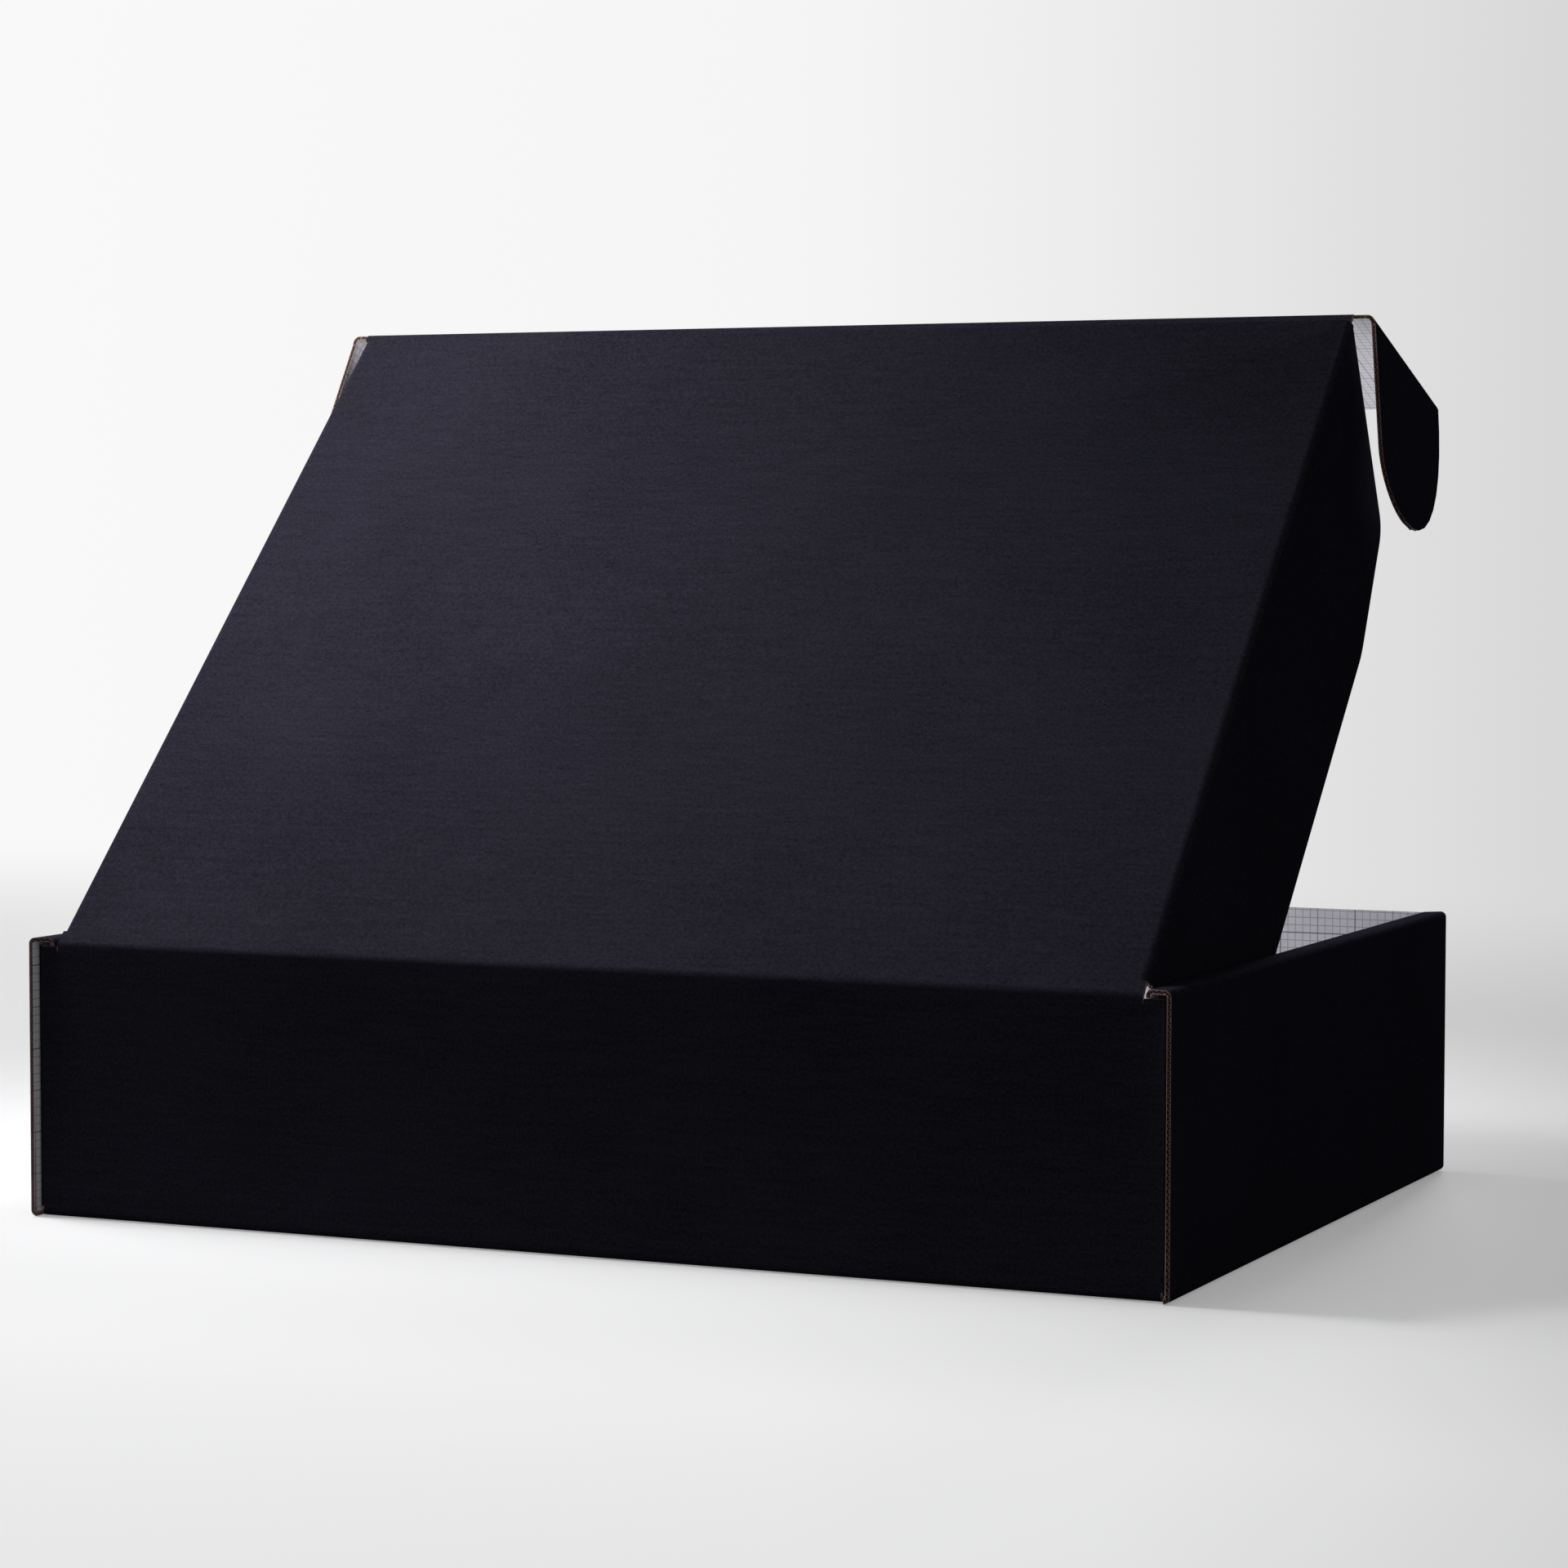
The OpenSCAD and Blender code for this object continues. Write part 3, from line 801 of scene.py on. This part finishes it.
class MAILER_OT_tuck_flap(bpy.types.Operator):
    """Dress the tuck flap"""

    bl_idname = "mailer.tuck_flap"
    bl_label = "Tuck flap"

    def execute(self, context):
        sizes = context.scene.mailer_sizes
        materials = board_materials(context)
        edge_x = SLOT_X - NECK
        ends = (
            ((0, -NECK, 0), (0, 1, 0)), ((edge_x, 0, 0), (1, 0, 0)), ((-edge_x, 0, 0), (-1, 0, 0)))
        parts = [cad_copy("tuck_flap", "tuck_flap_board", TUCK, cuts=ends)]
        for sx in (-1, 1):
            corner = (
                ((0, -NECK, 0), (0, -1, 0)), ((sx * RAW_LID_X, 0, 0), (-sx, 0, 0)),
                ((sx * edge_x, 0, 0), (sx, 0, 0)))
            parts.append(cad_copy("tuck_flap", "tuck_corner", TUCK, cuts=corner))
        tuck = join(parts)
        finish_faces(tuck, plate_kind, materials)
        recess(tuck, lambda c, n: abs(n.y) > MOSTLY and min(
            abs(-c.y - TUCK_H), abs(-c.y - TUCK_NOTCH)) < NEAR, sizes)
        sheet_uv(tuck)
        put(tuck, TUCK)
        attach(tuck, "tuck_flap")
        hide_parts("tuck_flap")
        half = edge_x - sizes.liner / MM
        rim = flat_stations(-half, half, (-TUCK_H, 0), (0, 0, 1), sizes)
        strips = [flute_ribbon("tuck_edge", rim, (0, 1, 0), sizes)]
        for sx in (-1, 1):
            low, high = sorted((sx * (RAW_LID_X + sizes.liner / MM), sx * edge_x))
            rim = flat_stations(low, high, (-TUCK_NOTCH, 0), (0, 0, 1), sizes)
            strips.append(flute_ribbon("tuck_corner_edge", rim, (0, -1, 0), sizes))
        flutes = finish_flutes("tuck_flap_flutes", strips, TUCK, 1, materials)
        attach(flutes, "tuck_flap")
        return {"FINISHED"}


def side_plate(context, node, place, side, low, trim):
    """Dresses one flat side panel and the flutes along its near and far edges

    low is where the plate starts in x. trim says whether the copy is cut off there.
    """
    sizes = context.scene.mailer_sizes
    materials = board_materials(context)
    ends = (((low, 0, 0), (-1, 0, 0)),) if trim else ()
    plate = cad_copy(node, node + "_board", place, side, ends)
    high = max(v.co.x for v in plate.data.vertices) - sizes.liner / MM
    rims = [outline_edge(plate, far, low, high, sizes) for far in (False, True)]
    finish_faces(plate, plate_kind, materials)
    recess(plate, lambda c, n: abs(n.z) < ACROSS and c.x > low + NEAR, sizes)
    sheet_uv(plate)
    put(plate, place, side)
    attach(plate, node)
    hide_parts(node)
    strips = [
        flute_ribbon("near_edge", rims[0], (0, -1, 0), sizes),
        flute_ribbon("far_edge", rims[1], (0, 1, 0), sizes),
    ]
    flutes = finish_flutes(node + "_flutes", strips, place, side, materials)
    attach(flutes, node)


class MAILER_OT_ears(bpy.types.Operator):
    """Dress the two ears of the tuck flap"""

    bl_idname = "mailer.ears"
    bl_label = "Ears"

    def execute(self, context):
        for hand, side in SIDES.items():
            side_plate(context, hand + "_ear", EAR, side, NECK, True)
        return {"FINISHED"}


class MAILER_OT_dust_flaps(bpy.types.Operator):
    """Dress the two dust flaps of the lid"""

    bl_idname = "mailer.dust_flaps"
    bl_label = "Dust flaps"

    def execute(self, context):
        for hand, side in SIDES.items():
            side_plate(context, hand + "_dust_flap", DUST, side, DUST_TOP, False)
        return {"FINISHED"}


def fold_way(turn):
    """The way in which the board goes on, past a bend by that many degrees"""
    return Vector((0, math.cos(math.radians(turn)), -math.sin(math.radians(turn))))


def fold_piece(name, ends, turn, radius, materials):
    """A bend of full board thickness: it comes along +y, turns down about x, and goes on

    ends are the places of its two cut ends in x. Each step of the bend is about 7 degrees.
    """
    tangent = radius * math.tan(math.radians(turn) / 2)
    reach = NECK - tangent
    rows = max(1, round(reach / ROW))
    after = fold_way(turn)
    steps = max(6, round(turn / 7))

    def extend(way):
        """Carries the open end on by the straight part"""
        for _ in range(rows):
            bpy.ops.mesh.extrude_region_move(TRANSFORM_OT_translate={"value": way * (reach / rows)})

    deselect_all()
    bpy.ops.mesh.primitive_plane_add(size=1, rotation=(math.radians(90), 0, 0))
    obj = bpy.context.object
    obj.name = name
    bpy.ops.object.transform_apply(location=True, rotation=True, scale=True)
    bpy.ops.object.mode_set(mode="EDIT")
    bpy.context.tool_settings.mesh_select_mode = (False, False, True)
    bpy.ops.mesh.select_all(action="SELECT")
    bpy.ops.transform.resize(value=(ends[1] - ends[0], 1, 2 * HALF))
    bpy.ops.transform.translate(value=((ends[0] + ends[1]) / 2, -NECK, 0))
    extend(Vector((0, 1, 0)))
    bpy.ops.mesh.spin(
        steps=steps, angle=math.radians(turn), center=(0, -tangent, -radius), axis=(1, 0, 0))
    extend(after)
    bpy.ops.mesh.select_all(action="SELECT")
    bpy.ops.mesh.remove_doubles(threshold=0.001)
    bpy.ops.mesh.normals_make_consistent(inside=False)
    leave()
    outside = fold_way(turn / 2 - 90)

    def kind(c, n):
        """Raw on the four cut faces, and else by the side that a face looks to"""
        if abs(n.x) > MOSTLY or c.y < NEAR - NECK or c.dot(after) > NECK - NEAR:
            return RAW
        return OUTER if n.dot(outside) > 0 else INNER

    finish_faces(obj, kind, materials)
    return obj


def fold_section(turn, radius):
    """Middle of the board round a bend, in y and z"""
    tangent = radius * math.tan(math.radians(turn) / 2)
    after = fold_way(turn).yz
    return [
        ("line", (-NECK, 0), (-tangent, 0)),
        ("arc", (-tangent, -radius), radius, 90, 90 - turn),
        ("line", after * tangent, after * NECK),
    ]


def placed(x, y, z, origin):
    """Matrix with those three axes and that origin"""
    rows = [(x[i], y[i], z[i], origin[i]) for i in range(3)]
    return Matrix(rows + [(0, 0, 0, 1)])


def axes(place):
    """The three axes and the origin of a frame"""
    return [Vector(place.col[i][:3]) for i in range(4)]


def blend_across(obj, place, side, turn, parent, child):
    """Bakes the fold's place into its mesh; the two points BEND on either side of its corner are worked
    out but not used
    """
    start = place @ Vector((0, -BEND, 0))
    end = place @ (fold_way(turn) * BEND)
    for point in (start, end):
        point.x *= side
    tuple(start * MM)
    tuple(end * MM)
    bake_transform(obj)


class MAILER_OT_folds(bpy.types.Operator):
    """Model the creases that join the panels, each a bend of the same board"""

    bl_idname = "mailer.folds"
    bl_label = "Folds"

    def execute(self, context):
        sizes = context.scene.mailer_sizes
        materials = board_materials(context)
        lid_x, lid_y, lid_z, lid_corner = axes(LID)
        x, y, z, tuck_corner = axes(TUCK)
        self.straight_fold(
            "lid_fold", placed((-1, 0, 0), (0, 0, 1), (0, 1, 0), lid_corner),
            90 - LID_OPEN, sizes.lid_fold / MM, ("tray", "lid"), materials)
        self.straight_fold(
            "tuck_fold", placed(-lid_x, -lid_y, lid_z, tuck_corner),
            90 - TUCK_SPLAY, sizes.tuck_fold / MM, ("lid", "tuck_flap"), materials)
        ear_place = placed(-y, x, z, TUCK @ Vector((SLOT_X, 0, 0)))
        for hand, side in SIDES.items():
            self.ear_fold(hand, side, ear_place, materials, sizes)
            self.dust_fold(hand, side, materials)
        return {"FINISHED"}

    @staticmethod
    def dust_fold(hand, side, materials):
        """The scored strip between the lid's bend and a dust flap"""
        top, low = DUST_R - HALF, DUST_TOP
        slope = math.tan(math.radians(DUST_TAPER))
        deselect_all()
        bpy.ops.mesh.primitive_plane_add(size=1)
        obj = bpy.context.object
        obj.name = hand + "_dust_fold"
        bpy.ops.object.mode_set(mode="EDIT")
        bpy.context.tool_settings.mesh_select_mode = (False, False, True)
        bpy.ops.mesh.select_all(action="SELECT")
        bpy.ops.transform.resize(value=(2 * HALF, DUST_FAR - DUST_BACK, 1))
        bpy.ops.transform.translate(value=(LID_X - HALF, -(DUST_FAR + DUST_BACK) / 2, -top))
        shrink = 1 - 2 * (low - top) * slope / (DUST_FAR - DUST_BACK)
        bpy.ops.mesh.extrude_region_move(TRANSFORM_OT_translate={"value": (0, 0, top - low)})
        bpy.ops.transform.resize(value=(1, shrink, 1))
        bpy.ops.mesh.select_all(action="SELECT")
        bpy.ops.mesh.normals_make_consistent(inside=False)
        leave()
        finish_faces(
            obj, lambda c, n: OUTER if n.x > MOSTLY else INNER if n.x < -MOSTLY else RAW, materials)
        sheet_uv(obj)
        put(obj, LID, side)
        start, end = (LID @ Vector((LID_X - HALF, -DUST_MIDDLE, -z)) for z in (top, low))
        start.x, end.x = start.x * side, end.x * side
        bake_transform(obj)

    @staticmethod
    def straight_fold(name, place, turn, radius, bodies, materials):
        """A fold across the flutes, as wide as the lid"""
        obj = fold_piece(name, (-RAW_LID_X, RAW_LID_X), turn, radius, materials)
        sheet_uv(obj)
        put(obj, place)
        blend_across(obj, place, 1, turn, *bodies)

    @staticmethod
    def ear_fold(hand, side, place, materials, sizes):
        """A fold along the flutes, whose two cut ends show them"""
        turn, radius = 90 - EAR_SPLAY, sizes.ear_fold / MM
        obj = fold_piece(hand + "_ear_fold", (0, 1), turn, radius, materials)
        after = fold_way(turn)

        def ends(p):
            """Where the two cut ends are at a point of the fold, which narrows towards the ear"""
            on = NECK + min(0.0, p.y) + max(0.0, p.dot(after))
            share = min(1.0, max(0.0, (on - NECK / 2) / (NECK * 1.5)))
            return TUCK_NOTCH + (EAR_INSET - TUCK_NOTCH) * share, TUCK_H - EAR_DROP * share

        for v in obj.data.vertices:
            low, high = ends(v.co)
            v.co.x = high if v.co.x > 0.5 else low
        recess(obj, lambda c, n: abs(n.x) > 0.5, sizes, even=False)
        strips = []
        for end, inwards in ((0, 1), (1, -1)):
            stations = []
            for s, point, normal in trace(fold_section(turn, radius), flute_step(sizes)):
                here = Vector((0, point.x, point.y))
                here.x = ends(here)[end]
                stations.append((s, here, Vector((0, -normal.x, -normal.y))))
            strips.append(flute_ribbon("fold_flutes", stations, (inwards, 0, 0), sizes))
        sheet_uv(obj)
        for strip in strips:
            strip.data.materials.clear()
            strip.data.materials.append(materials[RAW])
        obj = join([obj] + strips)
        put(obj, place, side)
        blend_across(obj, place, side, turn, "tuck_flap", hand + "_ear")


class MAILER_OT_stage(bpy.types.Operator):
    """Set the floor, the backdrop, the lights and the camera"""

    bl_idname = "mailer.stage"
    bl_label = "Stage"

    def execute(self, context):
        self.sweep(context)
        self.world(context)
        for lamp in LAMPS:
            self.lamp(context, *lamp)
        self.camera(context)
        context.scene.view_settings.view_transform = "Standard"
        return {"FINISHED"}

    @staticmethod
    def sweep(context):
        """A floor that curves up into a backdrop beyond the box"""
        deselect_all()
        bpy.ops.mesh.primitive_plane_add(size=1)
        floor = context.object
        floor.name = "floor"
        bpy.ops.object.mode_set(mode="EDIT")
        bpy.ops.mesh.select_all(action="SELECT")
        bpy.ops.transform.resize(value=(FLOOR_W, FLOOR_D, 1))
        bpy.ops.transform.translate(value=(0, FLOOR_Y, -0.0003))
        leave()

        def far_edge():
            """The two points between the floor and its backdrop"""
            return [v.index for v in floor.data.vertices if v.co.y < FLOOR_Y and v.co.z < SWEEP_H / 2]

        edit(floor, verts=far_edge())
        bpy.ops.mesh.extrude_region_move(TRANSFORM_OT_translate={"value": (0, 0, SWEEP_H)})
        edit(floor, verts=far_edge())
        bpy.ops.mesh.bevel(offset=SWEEP_R, segments=24, profile=0.5, affect="EDGES")
        leave()
        bpy.ops.object.shade_smooth()
        floor.data.materials.append(studio_floor(context.scene.mailer_colours))

    @staticmethod
    def world(context):
        """A dim even studio room"""
        world = bpy.data.worlds.new("studio")
        context.scene.world = world
        shader = Shader(world)
        strength = shader.seen() * 0.75 + 0.22
        light = shader.node("ShaderNodeBackground", {}, {0: (0.95, 0.96, 1.0, 1), 1: strength})[0]
        shader.output(light, "ShaderNodeOutputWorld")

    @staticmethod
    def lamp(context, name, place, aim, size, power, spread):
        """A square soft light that looks at a point, with a grid that holds its beam in"""
        light = bpy.data.lights.new(name, "AREA")
        light.size = size
        light.spread = math.radians(spread)
        light.energy = power
        obj = bpy.data.objects.new(name, light)
        obj.visible_camera = False
        context.scene.collection.objects.link(obj)
        way = Vector(aim) - Vector(place)
        obj.matrix_world = Matrix.Translation(place) @ way.to_track_quat("-Z", "Y").to_matrix().to_4x4()

    @staticmethod
    def camera(context):
        """The photograph's view"""
        right = VIEW_AHEAD.cross(Vector((0, 0, 1))).normalized()
        roll = math.radians(VIEW_ROLL)
        right = math.cos(roll) * right + math.sin(roll) * right.cross(VIEW_AHEAD)
        data = bpy.data.cameras.new("photo_view")
        data.lens = VIEW_LENS
        data.sensor_width = SENSOR
        data.clip_end = 50
        obj = bpy.data.objects.new("photo_view", data)
        context.scene.collection.objects.link(obj)
        obj.matrix_world = placed(right, right.cross(VIEW_AHEAD), -VIEW_AHEAD, VIEW_PLACE)
        context.scene.camera = obj


class MAILER_PT_panel(bpy.types.Panel):
    """Buttons and sizes of the mailer box"""

    bl_label = "Corrugated mailer box"
    bl_idname = "MAILER_PT_panel"
    bl_space_type = "VIEW_3D"
    bl_region_type = "UI"
    bl_category = "Mailer"

    def draw(self, context):
        for group in (context.scene.mailer_sizes, context.scene.mailer_colours):
            for key in group.__annotations__:
                self.layout.prop(group, key)
        for operator in OPERATORS:
            self.layout.operator(operator.bl_idname)


OPERATORS = (
    MAILER_OT_stage, MAILER_OT_tray, MAILER_OT_lid, MAILER_OT_tuck_flap,
    MAILER_OT_ears, MAILER_OT_dust_flaps, MAILER_OT_folds,
)
CLASSES = (BoardSizes, BoardColours) + OPERATORS + (MAILER_PT_panel,)


def register():
    for cls in CLASSES:
        bpy.utils.register_class(cls)
    bpy.types.Scene.mailer_sizes = PointerProperty(type=BoardSizes)
    bpy.types.Scene.mailer_colours = PointerProperty(type=BoardColours)


def unregister():
    del bpy.types.Scene.mailer_colours
    del bpy.types.Scene.mailer_sizes
    for cls in reversed(CLASSES):
        bpy.utils.unregister_class(cls)


def main():
    """Makes everything in order"""
    register()
    bpy.ops.mailer.stage()
    bpy.ops.mailer.tray()
    bpy.ops.mailer.lid()
    bpy.ops.mailer.tuck_flap()
    bpy.ops.mailer.ears()
    bpy.ops.mailer.dust_flaps()
    bpy.ops.mailer.folds()


if __name__ == "__main__":
    main()
